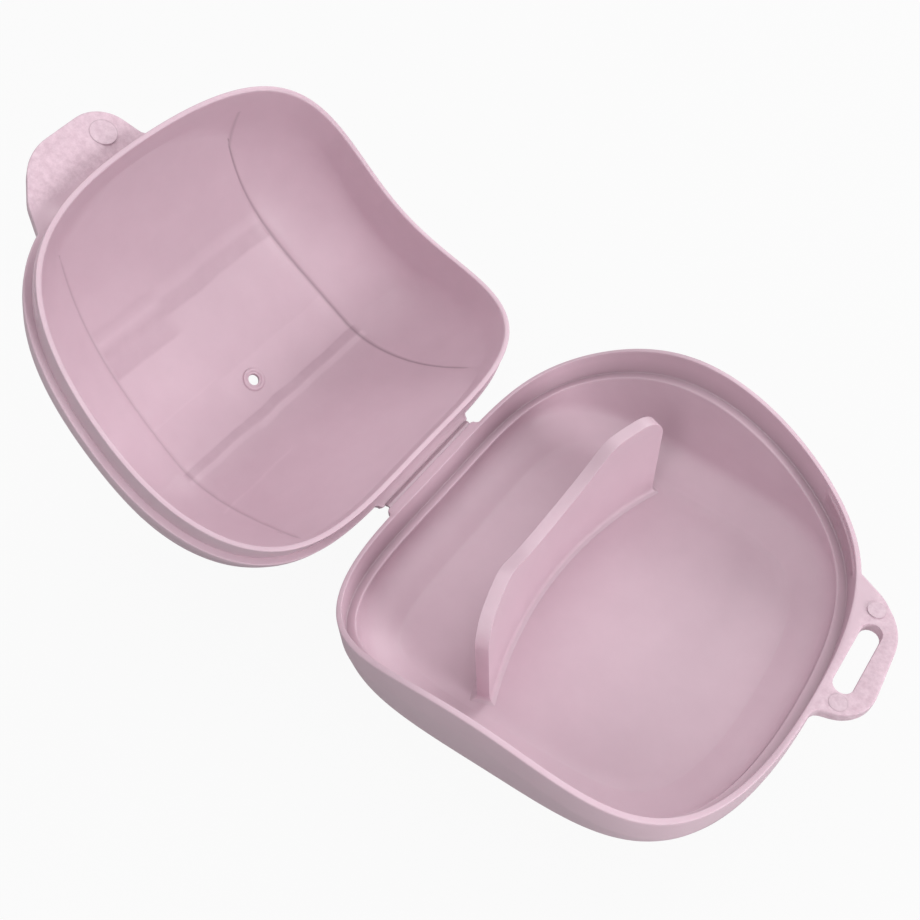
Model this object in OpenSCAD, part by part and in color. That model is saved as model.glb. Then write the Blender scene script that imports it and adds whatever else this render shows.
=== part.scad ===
// Hinged bowl-shaped carrying and steam sterilizer case for one pacifier, moulded in polypropylene.
// X runs from the hinge to the carry loop, Y along the hinge, Z up. The origin is on the flat foot,
// under the middle of the case's outline. The lid is drawn open, leaning back on the table.

/* [Outline] */
// Length of the case from its hinge wall to its front wall
case_len = 58.7; // [50:0.5:75]
// Width of the case across the hinge, before the corners' fullness
case_w = 62.5; // [54:0.5:80]
// Squareness of the two corners beside the hinge, as a superellipse exponent
back_corner = 3.85; // [3:0.05:5]
// Squareness of the two front corners
front_corner = 3.35; // [3:0.05:5]
// Narrowing of the outline towards the front
taper = 0.024; // [0:0.002:0.03]
// Fullness of the four corners
fullness = 0.008; // [0:0.002:0.02]
// Height that the parting line rises at the middle of each side
wave_h = 9.5; // [0:0.5:11]
// Lean of that rise towards the hinge
wave_lean = 2.8; // [0:0.2:3]

/* [Base] */
// Depth of the base from the parting line at the hinge down to the table
base_depth = 11; // [10:0.5:16]
// Thickness of the floor
floor_t = 1.6; // [1:0.1:2.4]
// Thickness of the lip that stands round the lid's tongue
lip_t = 0.75; // [0.6:0.05:1]
// Height of the lip above the ledge inside it
lip_h = 4.5; // [3.5:0.1:5]
// Width of the ledge inside the lip
ledge_w = 1.4; // [1.25:0.05:1.8]
// Outer radius between the walls and the foot
foot_r = 7; // [5:0.5:8]
// Draft of the outer wall below the lip, in degrees
wall_draft = 7.5; // [3:0.5:9]

/* [Lid] */
// Height of the lid's ceiling over the hinge line, at the ceiling's peak
ceiling_h = 25.9; // [23:0.1:30]
// Distance of the ceiling's peak from the hinge line
ceiling_peak = 23.5; // [20:0.5:30]
// Drop of the ceiling from its middle to its creases
ceiling_crown = 1.6; // [0:0.1:2.5]
// Half width of the ceiling between its creases, over which the crown is measured
ceiling_half = 19; // [16:0.5:22]
// Thickness of the lid's ceiling
lid_t = 1.5; // [1:0.1:2]
// Half width of the ceiling at its peak, between the creases
crease_half = 19.2; // [17:0.1:21]
// Narrowing of the ceiling from its peak to the front
crease_pinch = 3.6; // [1:0.1:5]
// Widening of the ceiling at the hinge
crease_flare = 0.7; // [0:0.1:1]
// Height of the upright band round the lid's foot
flange_h = 2.4; // [2.1:0.1:3]
// Depth of the tongue that enters the base
tongue_h = 4.2; // [3:0.1:4.3]
// Thickness of the tongue
tongue_t = 0.9; // [0.7:0.05:1]
// Slope of the tongue's outer face, from its root to its tip
tongue_draft = 0.15; // [0.1:0.05:0.3]
// Gap between the tongue and the lip
tongue_gap = 0.3; // [0.2:0.05:0.35]
// Gap between the closed lid and the lip's top
parting_gap = 0.15; // [0.1:0.05:0.2]

/* [Hinge] */
// Distance from the hinge line to the case's walls
hinge_reach = 1.25; // [1:0.05:2]
// Length of the living hinge at its film
hinge_len = 18.6; // [12:0.2:24]
// Extra length of each hinge leaf, at its wall
leaf_flare = 1.2; // [0.4:0.1:2]
// Thickness of each hinge leaf
leaf_t = 1.3; // [0.8:0.1:1.6]
// Radius of the hinge film
film_r = 0.25; // [0.15:0.05:0.3]
// Gap between each leaf's edge and the film
film_gap = 0.05; // [0.02:0.01:0.1]
// Angle that the lid stands open from closed, in degrees
lid_open = 144.7; // [0:1:180]

/* [Divider] */
// Distance of the divider's front face from the hinge line, at its middle
divider_x = 21.6; // [18:0.2:26]
// Radius of the divider's front face, seen from above
divider_r = 55.5; // [40:0.5:90]
// Thickness of the divider
divider_t = 1.7; // [1.2:0.1:2.5]
// Length of the divider across the case
divider_len = 42.6; // [34:0.2:43]
// Height of the divider's two wings over the floor
wing_h = 17.4; // [12:0.2:20]
// Rounding of each wing's outer corner
wing_r = 3.8; // [2:0.1:5]
// Height of the saddle between the wings over the floor
saddle_h = 12.8; // [8:0.2:16]
// Radius of the saddle
saddle_r = 17; // [12:0.5:24]

/* [Carry loop and lift tab] */
// Thickness of the carry loop
loop_t = 1.7; // [1.2:0.1:2.4]
// Distance that the carry loop's near corner stands out from the front wall
loop_out = 5.8; // [5:0.1:8]
// Distance by which its far corner stands out less
loop_lean = 1.1; // [0:0.1:2]
// Place of the carry loop's middle across the case
loop_y = 6.45; // [5.5:0.05:8]
// Distance between the carry loop's two corners
loop_span = 13.7; // [12:0.1:15]
// Radius of the carry loop's near corner
loop_r = 5; // [2:0.1:5.5]
// Width of the carry loop's slot
slot_w = 2.6; // [2:0.1:3]
// Length of the carry loop's slot
slot_len = 11.1; // [8:0.1:12]
// Place of the slot's middle across the case
slot_y = 7; // [6:0.1:8]
// Distance of the slot from the front wall
slot_gap = 0.25; // [0.2:0.05:0.6]
// Thickness of the lift tab
tab_t = 1.9; // [1.6:0.1:2.1]
// Distance that the lift tab's near corner stands out from the front wall
tab_out = 7.15; // [6:0.05:8]
// Distance by which its far corner stands out less
tab_lean = 0.7; // [0:0.1:2]
// Place of the lift tab's middle across the case, on the other side
tab_y = 5.75; // [5:0.05:7]
// Distance between the lift tab's two corners
tab_span = 12.7; // [11:0.1:14]
// Radius of the lift tab's near corner
tab_r = 5; // [2:0.1:5.5]
// Radius of the far corner of both plates
far_r = 8; // [4:0.1:9]
// Distance past the near corner at which each short side meets the front wall
root_run = 1.9; // [1.5:0.1:3]
// Radius of the fillet there
root_r = 1.2; // [0.8:0.1:2]
// Place across the case at which each long flank meets the front wall
flank_end = 18.6; // [18:0.1:20]
// Place across the case at which that flank bends
bend_y = 16.9; // [16:0.1:17.5]
// Distance of that bend from the front wall
bend_out = 0.9; // [0.5:0.1:1.5]
// Radius of the bend
bend_r = 6; // [1:0.5:8]
// Depth of the hollow under the lift tab's root
tab_hollow = 0.8; // [0.3:0.1:1]
// Width of that hollow
tab_hollow_w = 2.6; // [1.5:0.1:3]

/* [Snap beads and vent] */
// Outline angle at which each snap bead starts, in degrees from the front
bead_from = 33; // [26:1:36]
// Outline angle at which each snap bead ends
bead_to = 55; // [46:1:64]
// Height of each snap bead's section
bead_h = 0.7; // [0.4:0.1:0.9]
// Distance that a lid bead stands out of the tongue
lid_bead = 0.17; // [0.1:0.01:0.18]
// Distance that a base bead stands out of the lip
base_bead = 0.14; // [0.08:0.01:0.15]
// Depth of the base beads' middles below the lip's top
base_bead_z = 1.2; // [1:0.1:1.4]
// Depth of the lid beads' middles below the lip's top
lid_bead_z = 2.5; // [2.2:0.1:3]
// Distance of the steam vent from the hinge line
vent_x = 26.7; // [22:0.1:32]
// Radius of the vent's hole
vent_r = 0.9; // [0.6:0.1:1.2]
// Radius of the boss round the vent
vent_boss_r = 1.85; // [1.5:0.05:2.5]
// Height of the boss below the ceiling
vent_boss_h = 0.35; // [0.2:0.05:0.8]
// Depth that the boss is seated in the ceiling
vent_seat = 0.5; // [0.3:0.1:0.8]

/* [Hidden] */
shell_colour = [0.80, 0.68, 0.74];
leaf_colour = [0.74, 0.65, 0.69];
steps = 84;
corner_steps = 6;
dome_steps = 6;
vault_steps = 8;
wall_t = lip_t + ledge_w;
tongue_out = lip_t + tongue_gap;
tongue_in = tongue_out + tongue_t;
half_len = case_len / 2;
wall_x = -half_len * (1 - taper / (1 + fullness));
front_x = half_len * (1 + taper / (1 + fullness));
hinge_x = wall_x - hinge_reach;
upright_h = lip_h + 0.5;
seat_gap = 0.02;
leaf_gap = 0.05;
edge_break = 0.2;
corner_sharpness = 6;
normal_step = 0.5;

// Outline of the case, seen from above
function corner_power(t) = back_corner + (front_corner - back_corner) / (1 + exp(-corner_sharpness * cos(t)));
function plan_scale(t) = (1 + taper * cos(3 * t) + fullness * cos(4 * t)) / (1 + fullness);
function plan_radius(t) = let (n = corner_power(t))
    plan_scale(t) * pow(pow(abs(cos(t)), n) + pow(abs(sin(t)), n), -1 / n);
function plan_edge(t) = plan_radius(t) * [half_len * cos(t), case_w / 2 * sin(t)];
function plan_normal(t) = let (d = plan_edge(t + normal_step) - plan_edge(t - normal_step))
    [d.y, -d.x] / norm(d);
function plan_point(t, inset) = plan_edge(t) - inset * plan_normal(t);
function angle_at(i) = 360 * i / steps;

// Height of the parting line over the table
function wave(x) = let (u = x / half_len, q = max(0, 1 - u * u)) wave_h * q * q - wave_lean * u * q;
function parting_z(p) = base_depth + wave(p.x);
function on_parting(t, inset, drop) = let (p = plan_point(t, inset)) [p.x, p.y, parting_z(p) - drop];

// Rings of points joined into a closed solid; the first and last rings are capped at their middles
function ring(f) = [for (i = [0:steps - 1]) f(angle_at(i))];
function band_faces(a, b, n) = [for (i = [0:n - 1]) let (j = (i + 1) % n)
    each [[a + i, b + j, a + j], [a + i, b + i, b + j]]];
module ring_solid(rings, first, last) {
    n = len(rings[0]);
    count = len(rings);
    points = concat([for (r = rings) each r], [first, last]);
    faces = concat(
        [for (k = [0:count - 2]) each band_faces(k * n, (k + 1) * n, n)],
        [for (i = [0:n - 1]) [i, (i + 1) % n, n * count]],
        [for (i = [0:n - 1]) [(count - 1) * n + (i + 1) % n, (count - 1) * n + i, n * count + 1]]);
    polyhedron(points, faces, convexity = 6);
}
// Rings joined end to end into a hoop
module hoop_solid(rings) {
    n = len(rings[0]);
    count = len(rings);
    polyhedron([for (r = rings) each r],
        [for (k = [0:count - 1]) each band_faces(k * n, ((k + 1) % count) * n, n)], convexity = 6);
}
// Closed sections along a stretch of the outline, capped at both ends
module strip_solid(sections) {
    n = len(sections[0]);
    count = len(sections);
    faces = concat(
        [for (k = [0:count - 2]) each band_faces(k * n, (k + 1) * n, n)],
        [[for (i = [0:n - 1]) i]],
        [[for (i = [n - 1:-1:0]) (count - 1) * n + i]]);
    polyhedron([for (s = sections) each s], faces, convexity = 4);
}

// Base: its outer and inner profiles, followed from the foot up over the lip and down to the floor
function wall_run(t) = let (h = parting_z(plan_edge(t)) - upright_h - foot_r * (1 - sin(wall_draft)))
    max(0, h) * tan(wall_draft);
function foot_point(t, a, r, lift, inset) = let (
        p = plan_point(t, wall_run(t) + inset + r * (cos(wall_draft) - cos(a))))
    [p.x, p.y, lift + r * (1 - sin(a))];
function foot_angle(k) = wall_draft + (90 - wall_draft) * k / corner_steps;
module base_shell() {
    foot_fill = 0.4;
    inner_r = foot_r - wall_t + foot_fill;
    rings = concat(
        [for (k = [corner_steps:-1:0]) ring(function (t) foot_point(t, foot_angle(k), foot_r, 0, 0))],
        [ring(function (t) on_parting(t, 0, upright_h - edge_break)),
         ring(function (t) on_parting(t, 0, edge_break)),
         ring(function (t) on_parting(t, edge_break, 0)),
         ring(function (t) on_parting(t, lip_t - edge_break / 2, 0)),
         ring(function (t) on_parting(t, lip_t, edge_break / 2)),
         ring(function (t) on_parting(t, lip_t, lip_h)),
         ring(function (t) on_parting(t, wall_t - edge_break, lip_h)),
         ring(function (t) on_parting(t, wall_t, lip_h + edge_break))],
        [for (k = [0:corner_steps])
            ring(function (t) foot_point(t, foot_angle(k), inner_r, floor_t, wall_t))]);
    color(shell_colour) ring_solid(rings, [0, 0, 0], [0, 0, floor_t]);
}

// Lid: a ceiling that is curved from hinge to front, met at creases by domed side walls
back_wall_t = 1.65;
front_wall_t = 2.5;
front_inset = 1.6;
back_fall = 0.88;
front_slope = 0.3;
front_slope_power = 1.2;
front_drop_power = 5;
crease_from = 22;
crease_run = 36;
flare_from = 12;
flare_run = 8.4;
crease_out = 0.6;
dome_foot = 1;
dome_foot_wave = 1.36;
dome_slope = 0.05;
crease_groove = 0.12;
crease_probe = 0.3;
flange_lean = 0.15;
least_share = 0.02;
crease_halvings = 16;
vault_spread = 1.6;
lid_middle = [hinge_x + vent_x, 0];
function ceiling_z(p, grow) = let (
        x = p.x - hinge_x,
        out = grow / lid_t,
        back = (ceiling_peak - x) / (ceiling_peak - hinge_reach - back_wall_t * (1 - out)),
        front = (x - ceiling_peak) / (front_x - hinge_x - ceiling_peak - front_inset + front_wall_t * out),
        fall = x < ceiling_peak
            ? pow(max(0, 1 - back * back), back_fall)
            : max(0, 1 - front_slope * pow(front, front_slope_power)
                - (1 - front_slope) * pow(front, front_drop_power)),
        crown = ceiling_crown * pow(p.y / ceiling_half, 2))
    base_depth + (ceiling_h - crown + grow) * fall;
function ceiling_edge(x, grow) = crease_half + crease_out * grow / lid_t
    - crease_pinch * pow(max(0, x - crease_from) / crease_run, 1.5)
    + crease_flare * pow(max(0, flare_from - x) / flare_run, 2);
function is_past_crease(p, grow) = abs(p.y) > ceiling_edge(p.x - hinge_x, grow);
function crease_share(rim, lo, hi, grow, n) = let (mid = (lo + hi) / 2)
    n == 0 ? max(least_share, mid)
    : is_past_crease(rim + (lid_middle - rim) * mid, grow)
        ? crease_share(rim, mid, hi, grow, n - 1) : crease_share(rim, lo, mid, grow, n - 1);
function dome_rim(t, grow) = plan_point(t, grow > 0 ? flange_lean : tongue_in);
function dome_foot_z(t, grow) = let (w = wave(plan_edge(t).x))
    base_depth + (grow > 0 ? w + parting_gap + flange_h : dome_foot + dome_foot_wave * w);
function crease_point(t, grow) = let (rim = dome_rim(t, grow))
    rim + (lid_middle - rim) * crease_share(rim, 0, 1, grow, crease_halvings);
function dome_point(t, k, crease, grow) = let (
        rim = dome_rim(t, grow),
        foot = dome_foot_z(t, grow),
        top = max(foot, ceiling_z(crease, grow)),
        run = norm(rim - crease),
        beyond = crease + (rim - crease) / run * crease_probe,
        fall = (ceiling_z(crease, grow) - ceiling_z(beyond, grow)) / crease_probe,
        knee = max(foot, top - max(dome_slope, fall - crease_groove) * run),
        s = k / dome_steps,
        p = rim + (crease - rim) * s * s)
    [p.x, p.y, foot * (1 - s) * (1 - s) + 2 * knee * s * (1 - s) + top * s * s];
function vault_point(t, k, crease, grow) = let (
        p = crease + (lid_middle - crease) * pow(k / vault_steps, vault_spread))
    [p.x, p.y, max(dome_foot_z(t, grow), ceiling_z(p, grow))];
function crease_list(grow) = [for (i = [0:steps - 1]) crease_point(angle_at(i), grow)];
function dome_ring(k, creases, grow) =
    [for (i = [0:steps - 1]) dome_point(angle_at(i), k, creases[i], grow)];
function vault_ring(k, creases, grow) =
    [for (i = [0:steps - 1]) vault_point(angle_at(i), k, creases[i], grow)];
module lid_pose() {
    translate([hinge_x, 0, base_depth]) rotate([0, -lid_open, 0]) translate([-hinge_x, 0, -base_depth])
        children();
}
vent_z = ceiling_z(lid_middle, 0);
module lid_shell() {
    outer = crease_list(lid_t);
    inner = crease_list(0);
    rings = concat(
        [for (k = [dome_steps:-1:0]) dome_ring(k, inner, 0)],
        [ring(function (t) on_parting(t, tongue_in, -parting_gap)),
         ring(function (t) on_parting(t, tongue_out, -parting_gap)),
         ring(function (t) on_parting(t, 0, -parting_gap))],
        [for (k = [0:dome_steps]) dome_ring(k, outer, lid_t)],
        [for (k = [1:vault_steps - 1]) vault_ring(k, outer, lid_t)]);
    ceiling = [for (k = [vault_steps - 1:-1:1]) vault_ring(k, inner, 0)];
    color(shell_colour) lid_pose() difference() {
        ring_solid(concat(ceiling, rings), [lid_middle.x, 0, vent_z],
            [lid_middle.x, 0, ceiling_z(lid_middle, lid_t)]);
        translate([lid_middle.x, 0, vent_z - lid_t]) cylinder(r = vent_r, h = 3 * lid_t, $fn = 48);
        translate([lid_middle.x, 0, vent_z - lid_t])
            cylinder(r = vent_boss_r + seat_gap, h = lid_t + vent_seat, $fn = 48);
    }
}
module lid_tongue() {
    tip = tongue_h;
    root = seat_gap - parting_gap;
    color(shell_colour) lid_pose() hoop_solid([
        ring(function (t) on_parting(t, tongue_in, root)),
        ring(function (t) on_parting(t, tongue_in, tip - edge_break)),
        ring(function (t) on_parting(t, tongue_in - edge_break, tip)),
        ring(function (t) on_parting(t, tongue_out + tongue_draft + edge_break, tip)),
        ring(function (t) on_parting(t, tongue_out + tongue_draft, tip - edge_break)),
        ring(function (t) on_parting(t, tongue_out, root))]);
}
module vent_boss() {
    color(shell_colour) lid_pose() translate([lid_middle.x, 0, vent_z - vent_boss_h]) difference() {
        cylinder(r = vent_boss_r, h = vent_boss_h + vent_seat, $fn = 48);
        translate([0, 0, -vent_seat]) cylinder(r = vent_r, h = vent_boss_h + 3 * vent_seat, $fn = 48);
    }
}

// Snap beads at the two front corners, with a three-sided section
module bead_pair(face, proud, depth) {
    first = round(bead_from / 360 * steps);
    last = round(bead_to / 360 * steps);
    for (side = [0, 1]) mirror([0, side, 0]) strip_solid([for (i = [first:last]) let (t = angle_at(i))
        [on_parting(t, face, depth + sign(proud) * bead_h / 2),
         on_parting(t, face + proud, depth),
         on_parting(t, face, depth - sign(proud) * bead_h / 2)]]);
}
module lid_snap_beads() {
    face = tongue_out + tongue_draft * (lid_bead_z + parting_gap) / (tongue_h + parting_gap);
    color(shell_colour) lid_pose() bead_pair(face - 2 * seat_gap, -lid_bead, lid_bead_z);
}
module base_snap_beads() {
    color(shell_colour) bead_pair(lip_t + seat_gap, base_bead, base_bead_z);
}

// Divider: a curved plate with two wings and a saddle between them
function arc(centre, r, from, to, n) =
    [for (i = [0:n]) let (a = from + (to - from) * i / n) centre + r * [cos(a), sin(a)]];
module divider() {
    half = divider_len / 2;
    shoulder_h = 1;
    shoulder_run = 1.5;
    saddle_c = saddle_h + saddle_r;
    lip = asin((saddle_c - wing_h + shoulder_h) / saddle_r);
    wing_top = saddle_r * cos(lip) + shoulder_run;
    profile = concat(
        [[half, 0], [half, wing_h - wing_r]],
        arc([half - wing_r, wing_h - wing_r], wing_r, 15, 90, 6),
        [[wing_top, wing_h]],
        arc([0, saddle_c], saddle_r, -lip, lip - 180, 16),
        [[-wing_top, wing_h]],
        arc([wing_r - half, wing_h - wing_r], wing_r, 90, 165, 6),
        [[-half, wing_h - wing_r], [-half, 0]]);
    color(shell_colour) translate([hinge_x + divider_x, 0, floor_t]) intersection() {
        translate([divider_r, 0, 0]) rotate([0, 0, 140]) rotate_extrude(angle = 80, $fn = 180)
            translate([divider_r, 0]) square([divider_t, wing_h + shoulder_h]);
        translate([divider_r / 4, 0, 0]) rotate([90, 0, -90]) linear_extrude(divider_r / 2)
            polygon(profile);
    }
}

// Carry loop and lift tab share one outline: a short side, two round corners and a long bent flank
function rounded(before, corner, after, r, n) = let (
        u = (before - corner) / norm(before - corner),
        v = (after - corner) / norm(after - corner),
        half = acos(u * v) / 2,
        start = corner + u * r / tan(half),
        end = corner + v * r / tan(half),
        centre = corner + (u + v) / norm(u + v) * r / sin(half))
    [for (i = [0:n]) let (d = (start - centre) * (1 - i / n) + (end - centre) * i / n) centre + r * d / norm(d)];
function paddle(out, lean, mid, span, r) = let (
        near = [front_x + out, mid - span / 2],
        far = [front_x + out - lean, mid + span / 2],
        root = [front_x, near.y - root_run],
        below = root - [0, 2 * root_r],
        bend = [front_x + bend_out, bend_y],
        bound = [for (i = [0:steps]) plan_edge(angle_at(i) - 180)],
        fillet = rounded(near, root, below, root_r, 4),
        wall = [for (p = bound) if (p.x > 0 && p.y < flank_end && p.y > fillet[4].y) p],
        last = wall[len(wall) - 1],
        next = [for (p = bound) if (p.x > 0 && p.y >= flank_end) p][0],
        end = last + (next - last) * (flank_end - last.y) / (next.y - last.y))
    concat(wall, [end],
        rounded(end, bend, far, bend_r, 4),
        rounded(bend, far, near, far_r, 8),
        rounded(far, near, root, r, 10),
        fillet);
module carry_loop() {
    end_r = slot_w / 2;
    reach = slot_len / 2 - end_r;
    color(shell_colour) translate([0, 0, base_depth - loop_t]) linear_extrude(loop_t) difference() {
        polygon(paddle(loop_out, loop_lean, loop_y, loop_span, loop_r));
        hull() for (end = [-1, 1]) translate([front_x + slot_gap + end_r, slot_y + end * reach])
            circle(end_r, $fn = 32);
    }
}
module lift_tab() {
    foot = base_depth + parting_gap + leaf_gap;
    below = 0.5;
    spread = tab_hollow_w * (1 + below / tab_hollow);
    half_step = 180 / steps;
    color(shell_colour) lid_pose() difference() {
        translate([0, 0, foot]) linear_extrude(tab_t) mirror([0, 1])
            polygon(paddle(tab_out, tab_lean, tab_y, tab_span, tab_r));
        ring_solid([
            ring(function (t) let (p = plan_point(t + half_step, -spread)) [p.x, p.y, foot - below]),
            ring(function (t) let (p = plan_point(t + half_step, 0.3)) [p.x, p.y, foot + tab_hollow])],
            [0, 0, foot - below], [0, 0, foot + tab_hollow]);
    }
}

// Living hinge: a leaf on each wall, and the thin film between them on the hinge line
module hinge_leaf() {
    wide = hinge_len / 2 + leaf_flare;
    narrow = hinge_len / 2;
    corner = 0.5;
    edge = hinge_x + film_r + film_gap;
    wall = [for (i = [0:steps]) let (p = plan_edge(angle_at(i))) if (p.x < 0 && abs(p.y) < wide) p];
    linear_extrude(leaf_t) polygon(concat(wall,
        [[edge + corner, -wide], [edge, -narrow], [edge, narrow], [edge + corner, wide]]));
}
module base_hinge_leaf() {
    color(leaf_colour) translate([0, 0, base_depth - leaf_t]) hinge_leaf();
}
module lid_hinge_leaf() {
    color(leaf_colour) lid_pose() translate([0, 0, base_depth + parting_gap + leaf_gap]) hinge_leaf();
}
module hinge_film() {
    color(leaf_colour) translate([hinge_x, hinge_len / 2, base_depth]) rotate([90, 0, 0])
        cylinder(r = film_r, h = hinge_len, $fn = 32);
}

base_shell();
base_snap_beads();
divider();
carry_loop();
base_hinge_leaf();
hinge_film();
lid_shell();
lid_tongue();
lid_snap_beads();
lift_tab();
lid_hinge_leaf();
vent_boss();
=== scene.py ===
"""Looks of a small hinged pacifier sterilizer case in moulded polypropylene.

The base and the lid are each one continuous skin, grown ring by ring from the case's outline: the carry
loop, the lift tab and the hinge leaves are pulled out of the same rings. Lengths in the add-on's settings
are metres. The modelling code works in millimetres and is scaled at the end.
"""

import math
import bmesh
import bpy
from bpy.props import FloatProperty, FloatVectorProperty, PointerProperty
from bpy.types import Operator, Panel, PropertyGroup
from mathutils import Matrix, Vector


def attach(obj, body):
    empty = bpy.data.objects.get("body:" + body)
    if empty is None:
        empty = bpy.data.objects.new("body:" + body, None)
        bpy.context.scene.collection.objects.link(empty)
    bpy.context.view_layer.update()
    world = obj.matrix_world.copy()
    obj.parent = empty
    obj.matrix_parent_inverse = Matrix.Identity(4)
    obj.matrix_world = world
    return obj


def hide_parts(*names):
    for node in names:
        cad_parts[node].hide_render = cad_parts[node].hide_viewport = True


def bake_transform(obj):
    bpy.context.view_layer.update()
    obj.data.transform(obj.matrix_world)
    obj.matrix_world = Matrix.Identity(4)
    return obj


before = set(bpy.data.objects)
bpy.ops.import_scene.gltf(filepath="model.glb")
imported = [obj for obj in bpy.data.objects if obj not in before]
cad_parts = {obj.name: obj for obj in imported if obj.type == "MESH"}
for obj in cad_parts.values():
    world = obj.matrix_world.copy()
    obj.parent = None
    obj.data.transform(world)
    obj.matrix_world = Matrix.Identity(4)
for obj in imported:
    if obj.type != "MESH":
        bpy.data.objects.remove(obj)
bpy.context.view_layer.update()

bl_info = {
    "name": "Pacifier Case",
    "version": (1, 0, 0),
    "blender": (4, 5, 0),
    "location": "View3D > Sidebar > Case",
    "description": "Builds the hinged sterilizer case, its plastic and its studio",
    "category": "Object",
}

MM = 0.001
STEPS = 480
FRONT = STEPS // 2


def length(name, value, description):
    return FloatProperty(name=name, default=value, description=description, subtype="DISTANCE", unit="LENGTH",
                         precision=5)


def plain(name, value, description):
    return FloatProperty(name=name, default=value, description=description)


def colour(name, value, description):
    return FloatVectorProperty(name=name, default=value, description=description, subtype="COLOR",
                               min=0.0, max=1.0)


class CaseLengths(PropertyGroup):
    case_len: length("Length", 0.0587, "From the hinge wall to the front wall")
    case_w: length("Width", 0.0625, "Across the hinge, before the corners' fullness")
    wave_h: length("Wave", 0.0095, "Rise of the parting line at the middle of each side")
    wave_lean: length("Wave lean", 0.0028, "Lean of that rise towards the hinge")
    base_depth: length("Base depth", 0.011, "From the parting line at the hinge to the table")
    floor_t: length("Floor", 0.0016, "Thickness of the floor")
    lip_t: length("Lip", 0.00075, "Thickness of the base's lip")
    lip_h: length("Lip height", 0.0045, "Height of the lip over its ledge")
    ledge_w: length("Ledge", 0.0014, "Width of the ledge inside the lip")
    foot_r: length("Foot rounding", 0.007, "Radius between the walls and the foot")
    ceiling_h: length("Ceiling height", 0.0259, "Height of the lid's ceiling over the hinge line")
    ceiling_peak: length("Ceiling peak", 0.0235, "Distance of the peak from the hinge line")
    ceiling_crown: length("Ceiling crown", 0.0016, "Drop from the ceiling's middle to its creases")
    ceiling_half: length("Ceiling half width", 0.019, "Half width over which the crown is measured")
    lid_t: length("Lid wall", 0.0015, "Thickness of the lid's ceiling")
    crease_half: length("Crease half width", 0.0192, "Half width of the ceiling between its creases")
    crease_pinch: length("Crease pinch", 0.0036, "Narrowing of the ceiling to the front")
    crease_flare: length("Crease flare", 0.0007, "Widening of the ceiling at the hinge")
    flange_h: length("Flange", 0.0024, "Height of the upright band round the lid's foot")
    tongue_h: length("Tongue", 0.0042, "Depth of the tongue that enters the base")
    tongue_t: length("Tongue wall", 0.0009, "Thickness of the tongue")
    tongue_draft: length("Tongue slope", 0.00015, "Slope of the tongue's outer face")
    tongue_gap: length("Tongue gap", 0.0003, "Gap between tongue and lip")
    parting_gap: length("Parting gap", 0.00015, "Gap between the closed lid and the lip")
    hinge_reach: length("Hinge reach", 0.00125, "From the hinge line to the walls")
    hinge_len: length("Hinge length", 0.0186, "Length of the living hinge at its film")
    leaf_t: length("Hinge leaf", 0.0013, "Thickness of a hinge leaf")
    film_t: length("Hinge film", 0.0004, "Thickness of the hinge film")
    divider_x: length("Divider place", 0.0216, "From the hinge line to the divider's front face")
    divider_r: length("Divider curve", 0.0555, "Radius of the divider, seen from above")
    divider_t: length("Divider wall", 0.0017, "Thickness of the divider")
    divider_len: length("Divider length", 0.0426, "Length of the divider across the case")
    wing_h: length("Wing height", 0.0174, "Height of the divider's wings over the floor")
    wing_r: length("Wing rounding", 0.0038, "Rounding of each wing's outer corner")
    saddle_h: length("Saddle height", 0.0128, "Height of the saddle over the floor")
    saddle_r: length("Saddle radius", 0.017, "Radius of the saddle")
    loop_t: length("Loop thickness", 0.0017, "Thickness of the carry loop")
    loop_out: length("Loop reach", 0.0058, "From the front wall to the loop's near corner")
    loop_lean: length("Loop lean", 0.0011, "How much less its far corner stands out")
    loop_y: length("Loop place", 0.00645, "Middle of the loop across the case")
    loop_span: length("Loop span", 0.0137, "Between the loop's two corners")
    loop_r: length("Loop corner", 0.005, "Radius of the loop's near corner")
    slot_w: length("Slot width", 0.0026, "Width of the loop's slot")
    slot_len: length("Slot length", 0.0111, "Length of the loop's slot")
    slot_y: length("Slot place", 0.007, "Middle of the slot across the case")
    slot_gap: length("Slot gap", 0.00025, "From the front wall to the slot")
    tab_t: length("Tab thickness", 0.0019, "Thickness of the lift tab")
    tab_out: length("Tab reach", 0.00715, "From the front wall to the tab's near corner")
    tab_lean: length("Tab lean", 0.0007, "How much less its far corner stands out")
    tab_y: length("Tab place", 0.00575, "Middle of the tab across the case, on the other side")
    tab_span: length("Tab span", 0.0127, "Between the tab's two corners")
    tab_r: length("Tab corner", 0.005, "Radius of the tab's near corner")
    far_r: length("Far corners", 0.008, "Radius of the far corner of both plates")
    root_run: length("Short side's root", 0.0019, "From the near corner to the short side's foot on the wall")
    root_r: length("Root fillet", 0.0012, "Radius of the fillet there")
    flank_end: length("Flank's root", 0.0186, "Place across the case at which each long flank meets the wall")
    bend_y: length("Bend place", 0.0169, "Place across the case at which that flank bends")
    bend_out: length("Bend reach", 0.0009, "From the front wall to that bend")
    bend_r: length("Bend radius", 0.006, "Radius of that bend")
    tab_hollow: length("Tab hollow", 0.0008, "Depth of the hollow at the tab's root")
    tab_hollow_w: length("Tab hollow width", 0.0026, "Width of that hollow")
    bead_h: length("Bead height", 0.0007, "Height of a snap bead's section")
    lid_bead: length("Lid bead", 0.00017, "How far a lid bead stands out")
    base_bead: length("Base bead", 0.00014, "How far a base bead stands out")
    base_bead_z: length("Base bead depth", 0.0012, "Below the lip's top")
    lid_bead_z: length("Lid bead depth", 0.0025, "Below the lip's top")
    vent_x: length("Vent place", 0.0267, "From the hinge line to the steam vent")
    vent_r: length("Vent radius", 0.0009, "Radius of the steam vent")
    vent_boss_r: length("Vent boss", 0.00185, "Radius of the boss round the vent")
    vent_boss_h: length("Vent boss height", 0.00035, "Height of that boss")


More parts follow.
